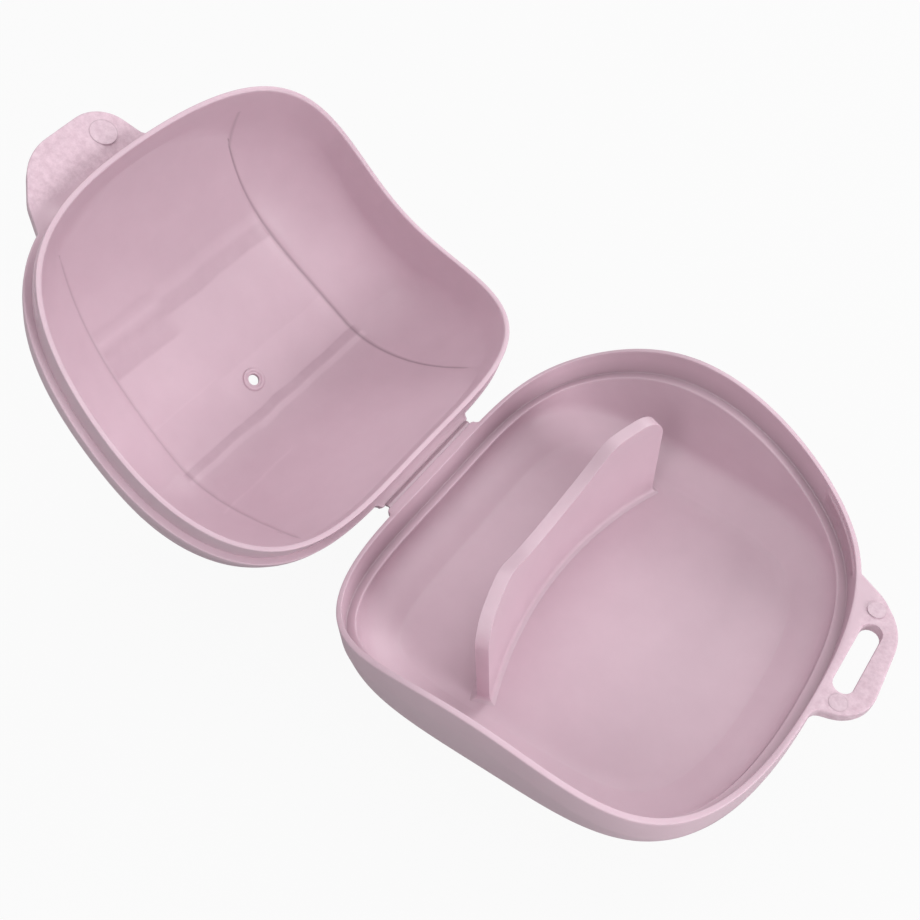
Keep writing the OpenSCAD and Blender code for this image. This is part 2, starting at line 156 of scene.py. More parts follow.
class CaseForm(PropertyGroup):
    back_corner: plain("Back corners", 3.85, "Squareness of the two corners beside the hinge")
    front_corner: plain("Front corners", 3.35, "Squareness of the two front corners")
    taper: plain("Taper", 0.024, "Narrowing of the outline towards the front")
    fullness: plain("Fullness", 0.008, "Fullness of the four corners")
    lid_open: FloatProperty(name="Lid opening", default=math.radians(144.7), subtype="ANGLE", unit="ROTATION",
                            description="How far the lid stands open from closed")
    wall_draft: FloatProperty(name="Wall draft", default=math.radians(7.5), subtype="ANGLE", unit="ROTATION",
                              description="Draft of the outer wall under the lip")


class CaseFinish(PropertyGroup):
    plastic: colour("Plastic", (0.600, 0.440, 0.508), "Mauve polypropylene")
    # Also the tone of the painted reflection bands in the lid's ceiling and of the painted shade lines
    plastic_deep: colour("Flow marks", (0.450, 0.300, 0.365), "Deeper mauve where the plastic flowed last")
    # A darker copy of the plastic for the hinge film: painted shade for the gap between the leaves
    hinge_plastic: colour("Hinge plastic", (0.480, 0.360, 0.410), "Stressed plastic at the hinge")
    roughness: plain("Roughness", 0.42, "Roughness of the moulded skin")
    floor: colour("Table", (0.42, 0.42, 0.42), "Light that the table gives back")


# Outline of the case and its parting line, with the plates that grow from the outline


def arc(centre, radius, start, end, count):
    points = []
    for i in range(count + 1):
        a = math.radians(start + (end - start) * i / count)
        points.append(centre + radius * Vector((math.cos(a), math.sin(a))))
    return points


def turned(before, corner, after, radius, count):
    """A corner of a path, as an arc that is tangent to both of its sides."""
    u, v = (before - corner).normalized(), (after - corner).normalized()
    half = u.angle(v) / 2
    centre = corner + (u + v).normalized() * radius / math.sin(half)
    start, end = (corner + way * radius / math.tan(half) - centre for way in (u, v))
    return [centre + radius * start.lerp(end, k / count).normalized() for k in range(count + 1)]


def resample(path, count):
    """Points at even distances along a path, both of its ends included."""
    runs = [0.0]
    for a, b in zip(path, path[1:]):
        runs.append(runs[-1] + (b - a).length)
    points = []
    k = 0
    for i in range(count):
        d = runs[-1] * i / (count - 1)
        while k < len(runs) - 2 and runs[k + 1] < d:
            k += 1
        gap = runs[k + 1] - runs[k]
        points.append(path[k].lerp(path[k + 1], (d - runs[k]) / gap if gap > 1e-9 else 0.0))
    return points


def ease(x):
    x = min(1.0, max(0.0, x))
    return x * x * (3 - 2 * x)


class CasePlan:
    """The case's outline, parting line and wall profiles, in millimetres.

    It takes all values of the settings by their names. The values below belong to the curves themselves."""

    # Outline, rims and walls
    corner_sharpness = 6
    edge_r = 0.22
    edge_soft = 0.06
    face_inset = 0.3
    bare_t = 1.5
    upright_over = 0.5
    foot_fill = 0.4
    floor_edge = 0.7
    leaf_extra = 1.2
    leaf_gap = 0.3
    leaf_corner = 0.45
    leaf_taper = 0.5
    bead_from = 33
    bead_to = 55
    bead_end = 2

    # Ceiling and sides of the lid
    back_wall = 1.65
    front_wall = 2.5
    front_inset = 1.6
    back_fall = 0.88
    front_slope = 0.3
    slope_power = 1.2
    drop_power = 5
    dome_foot = 1.0
    dome_foot_wave = 1.36
    dome_slope = 0.05
    flange_lean = 0.15

    # Creases between the ceiling and the sides
    crease_from = 22.0
    crease_run = 36.0
    flare_from = 12.0
    flare_run = 8.4
    crease_out = 0.6
    crease_groove = 0.12
    crease_probe = 0.3
    crease_end = 0.65
    least_share = 0.02
    roll = 0.28
    roll_power = 16
    groove_w = 0.45
    groove_d = 0.16
    groove_fade = 1.2
    # Painted shade: how dark the lines along the crease are on its far and near side, along the lip's foot
    # and up the side, and how they fade at the crease's ends
    ink_far = 0.62
    ink_near = 0.3
    ink_fine = 0.3
    ink_fade = 0.7

    def __init__(self):
        lengths = bpy.context.scene.case_lengths
        for name in CaseLengths.__annotations__:
            setattr(self, name, getattr(lengths, name) / MM)
        form = bpy.context.scene.case_form
        for name in CaseForm.__annotations__:
            setattr(self, name, getattr(form, name))
        self.half = self.case_len / 2
        shrink = self.taper / (1 + self.fullness)
        self.wall_x = -self.half * (1 - shrink)
        self.front_x = self.half * (1 + shrink)
        self.hinge_x = self.wall_x - self.hinge_reach
        self.wall_t = self.lip_t + self.ledge_w
        self.tongue_out = self.lip_t + self.tongue_gap
        self.tongue_in = self.tongue_out + self.tongue_t
        self.upright_h = self.lip_h + self.upright_over
        self.middle = Vector((self.hinge_x + self.vent_x, 0))
        self.angles = [math.tau * (i - FRONT) / STEPS for i in range(STEPS)]
        self.edges = [self.edge_at(t) for t in self.angles]
        self.normals = [self.normal_at(t) for t in self.angles]
        self.rim = list(self.edges)
        self.rim_normals = list(self.normals)
        self.plate_t = [self.bare_t] * STEPS
        self.grown = [False] * STEPS

    def edge_at(self, t):
        c, s = math.cos(t), math.sin(t)
        frontness = 1 / (1 + math.exp(-self.corner_sharpness * c))
        n = self.back_corner + (self.front_corner - self.back_corner) * frontness
        scale = (1 + self.taper * math.cos(3 * t) + self.fullness * math.cos(4 * t)) / (1 + self.fullness)
        radius = scale * (abs(c) ** n + abs(s) ** n) ** (-1 / n)
        return radius * Vector((self.half * c, self.case_w / 2 * s))

    def normal_at(self, t):
        step = math.radians(0.5)
        d = self.edge_at(t + step) - self.edge_at(t - step)
        return Vector((d.y, -d.x)).normalized()

    def point(self, i, inset):
        return self.edges[i] - inset * self.normals[i]

    def wave(self, x):
        u = x / self.half
        q = max(0.0, 1 - u * u)
        return self.wave_h * q * q - self.wave_lean * u * q

    def on_parting(self, i, inset, drop):
        p = self.point(i, inset)
        return Vector((p.x, p.y, self.base_depth + self.wave(p.x) - drop))

    def on_rim(self, i, inset, drop):
        """A point near the grown outline, at the parting line's height beside it."""
        p = self.rim[i] - inset * self.rim_normals[i]
        wall = self.point(i, 0)
        return Vector((p.x, p.y, self.base_depth + self.wave(wall.x if self.grown[i] else p.x) - drop))

    def index_near(self, x_sign, y):
        """The outline's point on the front or hinge side that is nearest to a place across the case."""
        side = (i for i in range(STEPS) if self.edges[i].x * x_sign > 0)
        return min(side, key=lambda i: abs(self.edges[i].y - y))

    def grow(self, first, last, path, thickness):
        """Pulls the outline between two of its points out to a path, as a plate of some thickness."""
        count = (last - first) % STEPS + 1
        for k, p in enumerate(resample(path, count)):
            i = (first + k) % STEPS
            self.rim[i] = p
            self.plate_t[i] = thickness
            self.grown[i] = True
        for k in range(-1, count + 1):
            i = (first + k) % STEPS
            d = self.rim[(i + 1) % STEPS] - self.rim[i - 1]
            self.rim_normals[i] = Vector((d.y, -d.x)).normalized()

    def paddle(self, out, lean, mid, span, r, side, thickness):
        """A plate on the front wall: a short side, two round corners and a long bent flank."""
        near = Vector((self.front_x + out, mid - span / 2))
        far = Vector((self.front_x + out - lean, mid + span / 2))
        root = Vector((self.front_x, near.y - self.root_run))
        below = root - Vector((0, 2 * self.root_r))
        bend = Vector((self.front_x + self.bend_out, self.bend_y))
        fillet = turned(near, root, below, self.root_r, 6)
        flank = self.index_near(1, side * self.flank_end)
        foot = self.index_near(1, side * fillet[-1].y)
        start, end = (Vector((self.edges[i].x, side * self.edges[i].y)) for i in (flank, foot))
        path = [start] + turned(start, bend, far, self.bend_r, 6) + turned(bend, far, near, self.far_r, 12)
        path += turned(far, near, root, r, 14) + fillet[:-1] + [end]
        path = [Vector((p.x, side * p.y)) for p in path]
        if side > 0:
            path.reverse()
            flank, foot = foot, flank
        self.grow(flank, foot, path, thickness)
        return flank, foot

    def hinge_leaf(self):
        """A plate on the hinge wall, with two round corners."""
        wide = self.hinge_len / 2 + self.leaf_extra
        first, last = self.index_near(-1, wide), self.index_near(-1, -wide)
        x = self.hinge_x + self.leaf_gap + self.leaf_corner
        y = wide - self.leaf_taper - self.leaf_corner
        path = [self.edges[first].copy()]
        path += arc(Vector((x, y)), self.leaf_corner, 80, 180, 6)
        path += arc(Vector((x, -y)), self.leaf_corner, 180, 280, 6)
        path.append(self.edges[last].copy())
        self.grow(first, last, path, self.leaf_t)

    def bead_share(self, i):
        """How much of a snap bead stands at a step of the outline: full along two front corners."""
        t = abs(math.degrees(self.angles[i]))
        return ease((t - self.bead_from) / self.bead_end) * ease((self.bead_to - t) / self.bead_end)

    # Rings beside the wall and beside the grown outline

    def wall(self, inset, drop):
        return lambda i: self.on_parting(i, inset, drop)

    def edge(self, inset, drop):
        return lambda i: self.on_rim(i, inset, drop)

    def bead(self, face, out, middle, s):
        """A ring of a half round bead, for s from -1 to 1, on a face given by its inset at each depth."""
        drop = middle + s * self.bead_h / 2
        bulge = out * math.sqrt(max(0.0, 1 - s * s))
        return lambda i: self.on_parting(i, face(drop) + bulge * self.bead_share(i), drop)

    # Profiles of the base

    def wall_run(self, i):
        parting = self.base_depth + self.wave(self.edges[i].x)
        h = parting - self.upright_h - self.foot_r * (1 - math.sin(self.wall_draft))
        return max(0.0, h) * math.tan(self.wall_draft)

    def foot(self, i, share, r, lift, inset):
        a = self.wall_draft + (math.pi / 2 - self.wall_draft) * share
        p = self.point(i, self.wall_run(i) + inset + r * (math.cos(self.wall_draft) - math.cos(a)))
        return Vector((p.x, p.y, lift + r * (1 - math.sin(a))))

    # Profiles of the lid, closed

    def ceiling_z(self, p, grow):
        x = p.x - self.hinge_x
        out = grow / self.lid_t
        if x < self.ceiling_peak:
            run = self.ceiling_peak - self.hinge_reach - self.back_wall * (1 - out)
            fall = max(0.0, 1 - ((self.ceiling_peak - x) / run) ** 2) ** self.back_fall
        else:
            run = self.front_x - self.hinge_x - self.ceiling_peak - self.front_inset + self.front_wall * out
            f = (x - self.ceiling_peak) / run
            slope = self.front_slope
            fall = max(0.0, 1 - slope * f ** self.slope_power - (1 - slope) * f ** self.drop_power)
        share = abs(p.y) / self.ceiling_edge(x, grow)
        crown = self.ceiling_crown * ((1 - self.roll) * share ** 2 + self.roll * share ** self.roll_power)
        return self.base_depth + (self.ceiling_h - crown + grow) * fall

    def ceiling_edge(self, x, grow):
        """Half width of the ceiling between its creases, at a distance from the hinge line."""
        edge = self.crease_half + self.crease_out * grow / self.lid_t
        edge -= self.crease_pinch * (max(0.0, x - self.crease_from) / self.crease_run) ** 1.5
        return edge + self.crease_flare * (max(0.0, self.flare_from - x) / self.flare_run) ** 2

    def dome_rim(self, i, grow):
        return self.point(i, self.flange_lean if grow > 0 else self.tongue_in)

    def dome_foot_z(self, i, grow):
        w = self.wave(self.edges[i].x)
        if grow > 0:
            return self.base_depth + w + self.parting_gap + self.flange_h
        return self.base_depth + self.dome_foot + self.dome_foot_wave * w

    def crease_point(self, i, grow):
        """Where the way from the rim to the ceiling's middle crosses the crease."""
        rim = self.dome_rim(i, grow)

        def past(share):
            p = rim.lerp(self.middle, share)
            return abs(p.y) > self.ceiling_edge(p.x - self.hinge_x, grow)

        low, high = 0.0, 1.0
        for _ in range(24):
            mid = (low + high) / 2
            low, high = (mid, high) if past(mid) else (low, mid)
        return rim.lerp(self.middle, max(self.least_share, high))

    def dome(self, i, s, crease, grow):
        """The side's curve: upright at the rim, and nearly level with the ceiling at the crease."""
        rim = self.dome_rim(i, grow)
        foot = self.dome_foot_z(i, grow)
        top = max(foot, self.ceiling_z(crease, grow))
        away = rim - crease
        beyond = crease + away.normalized() * self.crease_probe
        fall = (self.ceiling_z(crease, grow) - self.ceiling_z(beyond, grow)) / self.crease_probe
        knee = max(foot, top - max(self.dome_slope, fall - self.crease_groove) * away.length)
        p = rim.lerp(crease, s * s)
        return Vector((p.x, p.y, foot * (1 - s) ** 2 + 2 * knee * s * (1 - s) + top * s * s))

    def crease_fade(self, i, crease, run):
        """From 0 where the crease meets the rim to 1 at some distance from it."""
        return ease(((self.dome_rim(i, 0) - crease).length - self.crease_end) / run)

    def crease_ink(self, i, crease):
        """How dark the painted shade along the crease is: clear on the far side, faint on the near one, gone
        at its ends.
        """
        return (self.ink_far if crease.y > 0 else self.ink_near) * self.crease_fade(i, crease, self.ink_fade)

    def crease_groove_at(self, i, crease, inward, deep):
        """A point of the fine groove along the inner crease, some way from it to the middle or to the rim."""
        fade = self.crease_fade(i, crease, self.groove_fade)
        if inward >= 0:
            p = crease + inward * (self.middle - crease).normalized()
            z = max(self.dome_foot_z(i, 0), self.ceiling_z(p, 0))
        else:
            run = max(1e-6, (self.dome_rim(i, 0) - crease).length)
            p = self.dome(i, math.sqrt(max(0.0, 1 + inward * fade / run)), crease, 0)
            z = p.z
        return Vector((p.x, p.y, z + deep * fade))

    def vault(self, i, share, crease, grow, hole):
        """The ceiling, from the crease to the round of the vent."""
        p = crease.lerp(self.middle + hole * (crease - self.middle).normalized(), share)
        return Vector((p.x, p.y, max(self.dome_foot_z(i, grow), self.ceiling_z(p, grow))))

    def vent(self, crease, radius, grow, lift):
        p = self.middle + radius * (crease - self.middle).normalized()
        return Vector((p.x, p.y, self.ceiling_z(p, grow) + lift))


# Rings of points, each extruded from the one before


class Skin:
    """A skin grown from one ring of edges. Every ring has the same number of points, in the same order."""

    def __init__(self, place):
        self.bm = bmesh.new()
        # The "line" attribute holds painted shade: how much each point's colour is darkened, in creases and
        # corners
        self.line = self.bm.verts.layers.float.new("line")
        made = bmesh.ops.create_circle(self.bm, cap_ends=False, segments=STEPS, radius=1)
        self.ring = made["verts"]
        self.rings = [self.ring]
        for i, v in enumerate(self.ring):
            v.co = place(i)

    def add(self, place):
        bm = self.bm
        edges = [bm.edges.get((self.ring[i - 1], self.ring[i])) for i in range(STEPS)]
        made = bmesh.ops.extrude_edge_only(bm, edges=edges)
        fresh = {g for g in made["geom"] if isinstance(g, bmesh.types.BMVert)}
        grown = []
        for i, v in enumerate(self.ring):
            w = next(o for o in (e.other_vert(v) for e in v.link_edges) if o in fresh)
            w.co = place(i)
            grown.append(w)
        self.ring = grown
        self.rings.append(grown)
        return len(self.rings) - 1

    def run(self, places):
        for place in places:
            self.add(place)

    def draw_line(self, ring, strength):
        """Paints shade along a ring as a dark line, with a strength for each step of the outline."""
        for i, v in enumerate(self.rings[ring]):
            v[self.line] = strength(i)

    def faces_between(self, ring, indices):
        """The faces between a ring and the next one, at some steps of the outline."""
        a, b = self.rings[ring], self.rings[ring + 1]
        found = []
        for i in indices:
            j = (i + 1) % STEPS
            quad = {a[i], a[j], b[i], b[j]}
            found.append(next(f for f in a[i].link_faces if set(f.verts) == quad))
        return found

    def close(self):
        bmesh.ops.remove_doubles(self.bm, verts=self.bm.verts, dist=1e-4)
        bmesh.ops.dissolve_degenerate(self.bm, dist=1e-5, edges=self.bm.edges)
        bmesh.ops.recalc_face_normals(self.bm, faces=self.bm.faces)
        return self.bm


def rounded(start, corner, end, count):
    """Points of a quarter round between two points of a profile, drawn towards a corner."""
    points = []
    for k in range(count + 1):
        s = k / count
        shares = (1 - s) ** 2, 2 * s * (1 - s), s * s
        points.append(tuple(sum(w * x for w, x in zip(shares, xs)) for xs in zip(start, corner, end)))
    return points


def finished(bm, name, sharp=40.0):
    """Turns a mesh in millimetres into an object at the origin, in metres, with soft shading."""
    bmesh.ops.scale(bm, vec=(MM, MM, MM), verts=bm.verts)
    mesh = bpy.data.meshes.new(name)
    bm.to_mesh(mesh)
    bm.free()
    for polygon in mesh.polygons:
        polygon.use_smooth = True
    mesh.set_sharp_from_angle(angle=math.radians(sharp))
    piece = bpy.data.objects.new(name, mesh)
    bpy.context.scene.collection.objects.link(piece)
    return piece


def open_lid(bm, plan):
    turn = Matrix.Rotation(-plan.lid_open, 3, "Y")
    bmesh.ops.rotate(bm, cent=(plan.hinge_x, 0, plan.base_depth), matrix=turn, verts=bm.verts)


# Base


def between(first, second, share):
    """A ring some way from one ring to another."""
    return lambda i: first(i).lerp(second(i), share)


def toward_centre(share, ring):
    """A ring drawn in to the middle of a flat face."""
    return lambda i: ring(i) * share + Vector((0, 0, ring(i).z)) * (1 - share)


def slot_paths(plan):
    """The steps of the outline beside the slot, and the slot's two halves for each of them."""
    end_r = plan.slot_w / 2
    reach = plan.slot_len / 2 - end_r
    x = plan.front_x + plan.slot_gap + end_r
    low, high = Vector((x, plan.slot_y - reach)), Vector((x, plan.slot_y + reach))
    first, last = plan.index_near(1, low.y - end_r), plan.index_near(1, high.y + end_r)
    near = arc(low, end_r, -90, -180, 12) + arc(high, end_r, 180, 90, 12)
    far = arc(low, end_r, -90, 0, 12) + arc(high, end_r, 0, 90, 12)
    count = last - first + 1
    return first, last, resample(near, count), resample(far, count)


def cut_slot(bm, plan, faces):
    """Opens the carry loop's slot through both of its faces, and rounds the slot's upper edge."""
    bmesh.ops.delete(bm, geom=faces, context="FACES")
    bmesh.ops.remove_doubles(bm, verts=bm.verts, dist=1e-4)
    made = bmesh.ops.bridge_loops(bm, edges=[e for e in bm.edges if e.is_boundary])
    over = plan.base_depth - 0.5
    upper = {e for f in made["faces"] for e in f.edges if all(v.co.z > over for v in e.verts)}
    bmesh.ops.bevel(bm, geom=list(upper), offset=0.16, offset_type="OFFSET", segments=2, profile=0.5,
                    affect="EDGES", material=-1, clamp_overlap=True)


def build_base(plan):
    """The base as one skin, from the middle of its foot round the rim to the middle of its floor."""
    plan.hinge_leaf()
    plan.paddle(plan.loop_out, plan.loop_lean, plan.loop_y, plan.loop_span, plan.loop_r, 1, plan.loop_t)
    slot_a, slot_b, slot_near, slot_far = slot_paths(plan)
    wall, edge, thick = plan.wall, plan.edge, plan.plate_t
    face, edge_r, soft = plan.face_inset, plan.edge_r, plan.edge_soft
    lip_t, lip_h = plan.lip_t, plan.lip_h
    inner_r = plan.foot_r - plan.wall_t + plan.foot_fill
    root_r, lip_r, lip_foot_r, ledge_r = 0.15, 0.15, 0.12, 0.35
    near_side, far_side = 0.33, 0.66
    slot_bend, foot_bend = 8, 0.8

    def outer_foot(share):
        return lambda i: plan.foot(i, share, plan.foot_r, 0, 0)

    def inner_foot(share):
        return lambda i: plan.foot(i, share, inner_r, plan.floor_t, plan.wall_t)

    def floor_rise(share):
        """The round between inner wall and floor, nearly a flat slope, so that the floor has an edge."""
        flat = between(inner_foot(0), inner_foot(1), share)
        return between(inner_foot(share), flat, plan.floor_edge * ease(share / foot_bend))

    def under(inset, lift):
        """A ring on the underside of the plates, beside their outer edge."""
        def place(i):
            grown = plan.grown[i]
            return plan.on_rim(i, inset if grown else 0, thick[i] - (lift if grown else 0))
        return place

    def across(share, inset, drop):
        """A ring between the wall and the grown outline, bent round the slot's near or far side."""
        def place(i):
            near = plan.on_parting(i, inset, drop(i))
            if not plan.grown[i]:
                return near
            k = min(max(i, slot_a), slot_b)
            p = (slot_near if share < 0.5 else slot_far)[k - slot_a]
            slot = Vector((p.x, p.y, near.z))
            if k == i:
                return slot
            slot += near - plan.on_parting(k, inset, drop(i))
            slot.z = near.z
            return slot.lerp(near.lerp(plan.on_rim(i, face, drop(i)), share), ease(abs(i - k) / slot_bend))
        return place

    # Foot and outer wall
    skin = Skin(toward_centre(0.0, outer_foot(1)))
    skin.run(toward_centre(k / 6, outer_foot(1)) for k in range(1, 7))
    skin.run(outer_foot(1 - k / 14) for k in range(1, 15))
    skin.run(between(outer_foot(0), wall(0, plan.upright_h), s) for s in (0.25, 0.5, 0.75, 0.94))
    skin.add(wall(0, plan.upright_h - 0.4))

    # Underside, edge and upper side of the plates
    skin.add(lambda i: plan.on_parting(i, 0, thick[i] + root_r))
    skin.add(lambda i: plan.on_parting(i, 0, thick[i]))
    bottom = skin.add(across(near_side, 0, lambda i: thick[i]))
    skin.add(across(far_side, 0, lambda i: thick[i]))
    skin.run([under(face, 0), under(edge_r, 0), under(soft, soft), under(0, edge_r)])
    skin.run(edge(a, b) for a, b in rounded((0, edge_r), (0, 0), (edge_r, 0), 4))
    skin.add(edge(face, 0))
    top = skin.add(across(far_side, face, lambda i: 0))
    skin.add(across(near_side, face, lambda i: 0))

    # Lip with its beads, and the ledge
    skin.add(wall(face, 0))
    skin.run(wall(a, b) for a, b in rounded((lip_t - lip_r, 0), (lip_t, 0), (lip_t, lip_r), 3))
    skin.run(plan.bead(lambda drop: lip_t, plan.base_bead, plan.base_bead_z, k / 3 - 1) for k in range(7))
    lip_foot = skin.add(wall(lip_t, lip_h - lip_foot_r))
    skin.add(wall(lip_t + lip_foot_r, lip_h))
    ledge_edge = rounded((plan.wall_t - ledge_r, 0), (plan.wall_t, 0), (plan.wall_t, ledge_r), 4)
    skin.run(wall(a, lip_h + b) for a, b in ledge_edge)

    # Inner wall and floor
    skin.run(between(wall(plan.wall_t, lip_h + ledge_r), inner_foot(0), s) for s in (0.2, 0.5, 0.8))
    skin.run(floor_rise(k / 16) for k in range(17))
    skin.run(toward_centre(1 - k / 14, inner_foot(1)) for k in range(1, 15))

    # Painted shadow in the corner at the lip's foot, where the lip's inner face meets the ledge
    for ring in (lip_foot, lip_foot + 1):
        skin.draw_line(ring, lambda i: plan.ink_fine)
    slot_steps = range(slot_a, slot_b)
    cut_slot(skin.bm, plan, skin.faces_between(bottom, slot_steps) + skin.faces_between(top, slot_steps))
    return skin.close()


# Lid


def build_lid(plan):
    """The lid as one skin, from the vent over the ceiling, tongue, rim and outside back to the vent."""
    plan.hinge_leaf()
    first, last = plan.paddle(plan.tab_out, plan.tab_lean, plan.tab_y, plan.tab_span, plan.tab_r, -1,
                              plan.tab_t)
    inner = [plan.crease_point(i, 0) for i in range(STEPS)]
    outer = [plan.crease_point(i, plan.lid_t) for i in range(STEPS)]
    wall, edge, thick = plan.wall, plan.edge, plan.plate_t
    gap, face, edge_r, soft = plan.parting_gap, plan.face_inset, plan.edge_r, plan.edge_soft
    hole, boss, tip = plan.vent_r, plan.vent_boss_r, plan.tongue_h
    boss_face, boss_ring, bead_seat = 0.15, 0.3, 0.04
    back_r, front_r, bead_over = 0.25, 0.2, 0.6

    def vent(radius, lift, grow):
        return lambda i: plan.vent(inner[i], radius, grow, lift)

    def vault(share, grow, hole_r):
        crease = outer if grow > 0 else inner
        return lambda i: plan.vault(i, share, crease[i], grow, hole_r)

    def dome(share, grow):
        crease = outer if grow > 0 else inner
        return lambda i: plan.dome(i, share, crease[i], grow)

    def groove(inward, deep):
        return lambda i: plan.crease_groove_at(i, inner[i], inward, deep)

    def hollow_depth(i, share):
        """The hollow at the tab's root, which runs out towards both of its ends."""
        return plan.tab_hollow * share * ease((i - first - 4) / 9) * ease((last - 3 - i) / 9)

    def hollow(inset, share):
        return lambda i: plan.on_parting(i, inset, -gap) + Vector((0, 0, hollow_depth(i, share)))

    def hollow_edge(run, share):
        """A ring on the plates' near face, some way out from the wall."""
        def place(i):
            near, far = plan.point(i, face), plan.rim[i] - face * plan.rim_normals[i]
            reach = (far - near).length
            p = near.lerp(far, min(0.8, run / reach)) if plan.grown[i] and reach > 0.01 else near
            level = Vector((p.x, p.y, plan.on_parting(i, face, -gap).z))
            return level + Vector((0, 0, hollow_depth(i, share)))
        return place

    def over(inset, drop):
        """The plates' outer edge on their far face, which is the flange's own face elsewhere."""
        def place(i):
            grown = plan.grown[i]
            return plan.on_rim(i, inset if grown else 0, -gap - thick[i] + (drop if grown else 0))
        return place

    def tongue_face(drop):
        return plan.tongue_out + plan.tongue_draft * (drop + gap) / (tip + gap)

    # Vent with its boss and the low ring on it
    mouth = ((hole, 0.4), (hole, 0.05), (hole + 0.03, -0.08), (hole + 0.12, -0.14), (boss - 0.62, -boss_face))
    rings = [vent(radius, lift, 0) for radius, lift in mouth]
    for a in (math.pi * k / 8 for k in range(1, 7)):
        height = boss_face + (plan.vent_boss_h - boss_face) * math.sin(a)
        rings.append(vent(boss - boss_ring - boss_ring * math.cos(a), -height, 0))
    foot = ((boss, -0.1), (boss + 0.04, -0.03), (boss + 0.12, 0))
    rings += [vent(radius, lift, 0) for radius, lift in foot]

    # Ceiling, crease and inner side
    rings += [vault((k / 44) ** 1.3, 0, boss + 0.25) for k in range(44, 3, -1)]
    crease = len(rings) + 2
    w, d = plan.groove_w, plan.groove_d
    rings += [groove(a, b) for a, b in ((w, 0), (w / 3, 0.8 * d), (0, d), (-w / 3, 0.8 * d), (-w, 0))]
    rings += [dome(k / 30, 0) for k in range(28, -1, -1)]
    side = range(crease + 2, len(rings) - 1)

    # Tongue with its beads
    back, front = plan.tongue_in, plan.tongue_out + plan.tongue_draft
    rings += [wall(back, 0.3), wall(back, tip - 0.6)]
    rings += [wall(a, tip + b) for a, b in rounded((back, -back_r), (back, 0), (back - back_r, 0), 4)]
    rings += [wall(a, tip + b) for a, b in rounded((front + front_r, 0), (front, 0), (front, -front_r), 4)]
    bead_out = -(plan.lid_bead + bead_seat)
    rings += [plan.bead(tongue_face, bead_out, plan.lid_bead_z, 1 - k / 3) for k in range(7)]
    rings.append(wall(tongue_face(bead_over), bead_over))

    # Near face with the hollow, edge and far face of the plates
    rings += [hollow(plan.tongue_out, 1.0), hollow(plan.tongue_out - 0.08, 1.0), hollow(face, 0.8)]
    rings += [hollow_edge(0.9, 0.55), hollow_edge(plan.tab_hollow_w, 0), hollow_edge(40.0, 0)]
    rings.append(edge(face, -gap))
    rings += [edge(a, -gap - b) for a, b in rounded((edge_r, 0), (0, 0), (0, edge_r), 4)]
    rings += [over(0, edge_r), over(soft, soft), over(edge_r, 0), over(face, 0)]
    rings.append(lambda i: plan.on_parting(i, 0, -gap - thick[i]))

    # Flange, outer side, outside of the ceiling and countersink
    rings.append(lambda i: plan.on_parting(i, 0.05, -gap - plan.flange_h + 0.2))
    rings += [dome(k / 20, plan.lid_t) for k in range(21)]
    rings += [vault((k / 30) ** 1.3, plan.lid_t, hole + 1.0) for k in range(1, 31)]
    sink = ((hole + 0.75, 0), (hole + 0.68, -0.05), (hole + 0.04, -0.9), (hole, -1.0))
    rings += [vent(radius, lift, plan.lid_t) for radius, lift in sink]

    skin = Skin(rings[0])
    skin.run(rings[1:] + rings[:1])
    # Painted shade along the inner crease, and a fine painted shade line on the side at the front end of the
    # far crease
    for ring, strength in ((crease - 1, 0.6), (crease, 1.0), (crease + 1, 0.6)):
        skin.draw_line(ring, lambda i: strength * plan.crease_ink(i, inner[i]))
    corner = min(i for i in range(FRONT, STEPS) if plan.crease_ink(i, inner[i]) > 0.2)
    for ring in side:
        skin.rings[ring][corner][skin.line] = plan.ink_fine
    bm = skin.close()
    open_lid(bm, plan)
    return bm


# Divider, hinge film and ejector marks


def divider_top(plan, y):
    """Height of the divider over the floor: two wings with round corners, and a soft saddle between them."""
    corner = abs(y) - (plan.divider_len / 2 - plan.wing_r)
    if corner > 0:
        return plan.wing_h - plan.wing_r + math.sqrt(max(0.0, plan.wing_r ** 2 - corner * corner))
    saddle = plan.saddle_h + plan.saddle_r - math.sqrt(max(0.0, plan.saddle_r ** 2 - y * y))
    soft = 1.6
    share = max(0.0, min(1.0, 0.5 + 0.5 * (plan.wing_h - saddle) / soft))
    return plan.wing_h * (1 - share) + saddle * share - soft * share * (1 - share)


